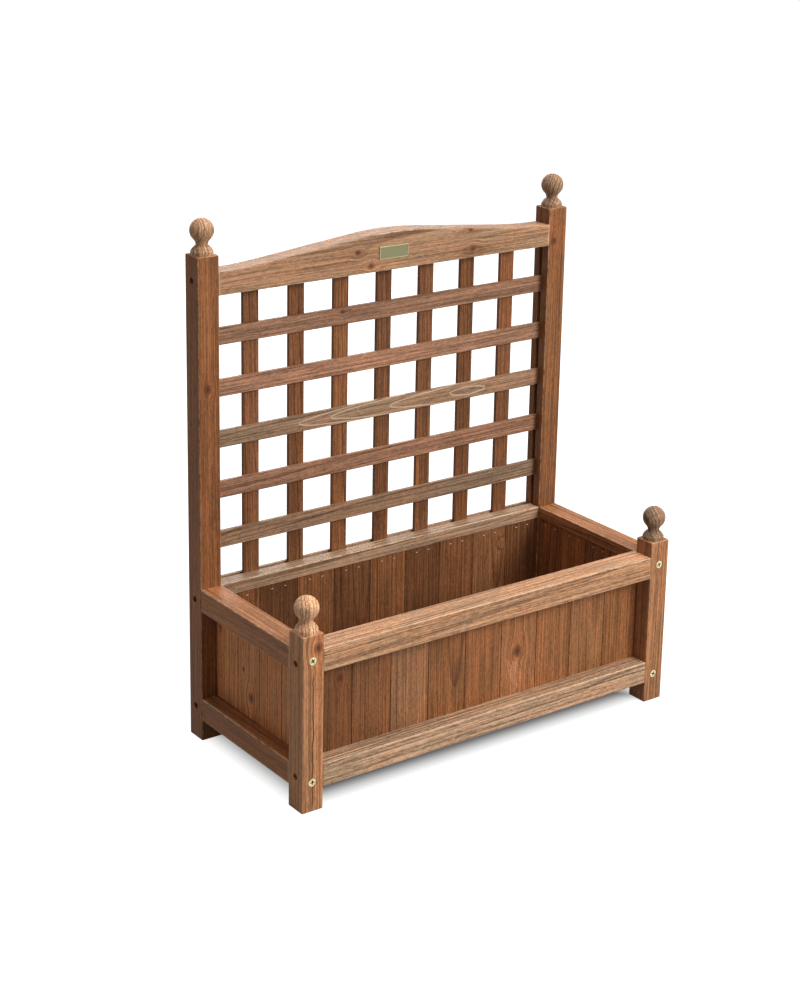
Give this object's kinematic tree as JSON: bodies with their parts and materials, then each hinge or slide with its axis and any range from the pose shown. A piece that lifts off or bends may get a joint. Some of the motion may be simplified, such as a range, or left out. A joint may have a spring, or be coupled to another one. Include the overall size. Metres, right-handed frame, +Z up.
{
  "type": "planter with trellis",
  "caption": "Rectangular wooden planter trough on four square posts with ball finials and a tall slatted trellis back under an arched top rail.",
  "frame": {"origin": "middle of the footprint on the ground, under the centre of the bounding box", "axes": "+Z up, +X across the width towards the right-hand end seen from the front, +Y from the front of the trough to the trellis at the rear"},
  "size_m": [0.635, 0.288, 0.7449],
  "materials": {
    "post_wood": "reddish-brown stained fir, matt, grain along the post",
    "finial_wood": "stained fir turned on end grain, strongly striped",
    "rail_wood": "reddish-brown stained fir, matt, with eased edges",
    "plank_wood": "reddish-brown stained fir planks, colour varying from plank to plank",
    "slat_wood": "thin stained fir slats",
    "floor_wood": "stained fir boards and cleats",
    "aged_brass": "aged brass with a dull sunken field",
    "screw_brass": "yellow passivated countersunk screws",
    "brad_steel": "plain zinc-plated wire"
  },
  "bodies": {
    "root": {"front_left_post": "post_wood", "front_right_post": "post_wood", "rear_left_post": "post_wood", "rear_right_post": "post_wood", "front_left_finial": "finial_wood", "front_right_finial": "finial_wood", "rear_left_finial": "finial_wood", "rear_right_finial": "finial_wood", "front_top_rail": "rail_wood", "front_bottom_rail": "rail_wood", "rear_top_rail": "rail_wood", "rear_bottom_rail": "rail_wood", "left_top_rail": "rail_wood", "left_bottom_rail": "rail_wood", "right_top_rail": "rail_wood", "right_bottom_rail": "rail_wood", "arched_top_rail": "rail_wood", "front_plank_1": "plank_wood", "front_plank_2": "plank_wood", "front_plank_3": "plank_wood", "front_plank_4": "plank_wood", "front_plank_5": "plank_wood", "front_plank_6": "plank_wood", "front_plank_7": "plank_wood", "front_plank_8": "plank_wood", "front_plank_9": "plank_wood", "rear_plank_1": "plank_wood", "rear_plank_2": "plank_wood", "rear_plank_3": "plank_wood", "rear_plank_4": "plank_wood", "rear_plank_5": "plank_wood", "rear_plank_6": "plank_wood", "rear_plank_7": "plank_wood", "rear_plank_8": "plank_wood", "rear_plank_9": "plank_wood", "left_plank_1": "plank_wood", "left_plank_2": "plank_wood", "left_plank_3": "plank_wood", "left_plank_4": "plank_wood", "right_plank_1": "plank_wood", "right_plank_2": "plank_wood", "right_plank_3": "plank_wood", "right_plank_4": "plank_wood", "trellis_upright_1": "slat_wood", "trellis_upright_2": "slat_wood", "trellis_upright_3": "slat_wood", "trellis_upright_4": "slat_wood", "trellis_upright_5": "slat_wood", "trellis_upright_6": "slat_wood", "trellis_upright_7": "slat_wood", "trellis_cross_slat_1": "slat_wood", "trellis_cross_slat_2": "slat_wood", "trellis_cross_slat_3": "slat_wood", "trellis_cross_slat_4": "slat_wood", "trellis_cross_slat_5": "slat_wood", "floor_boards": "floor_wood", "floor_cleats": "floor_wood", "name_plate": "aged_brass", "frame_screws": "screw_brass", "brads": "brad_steel"}
  },
  "joints": []
}
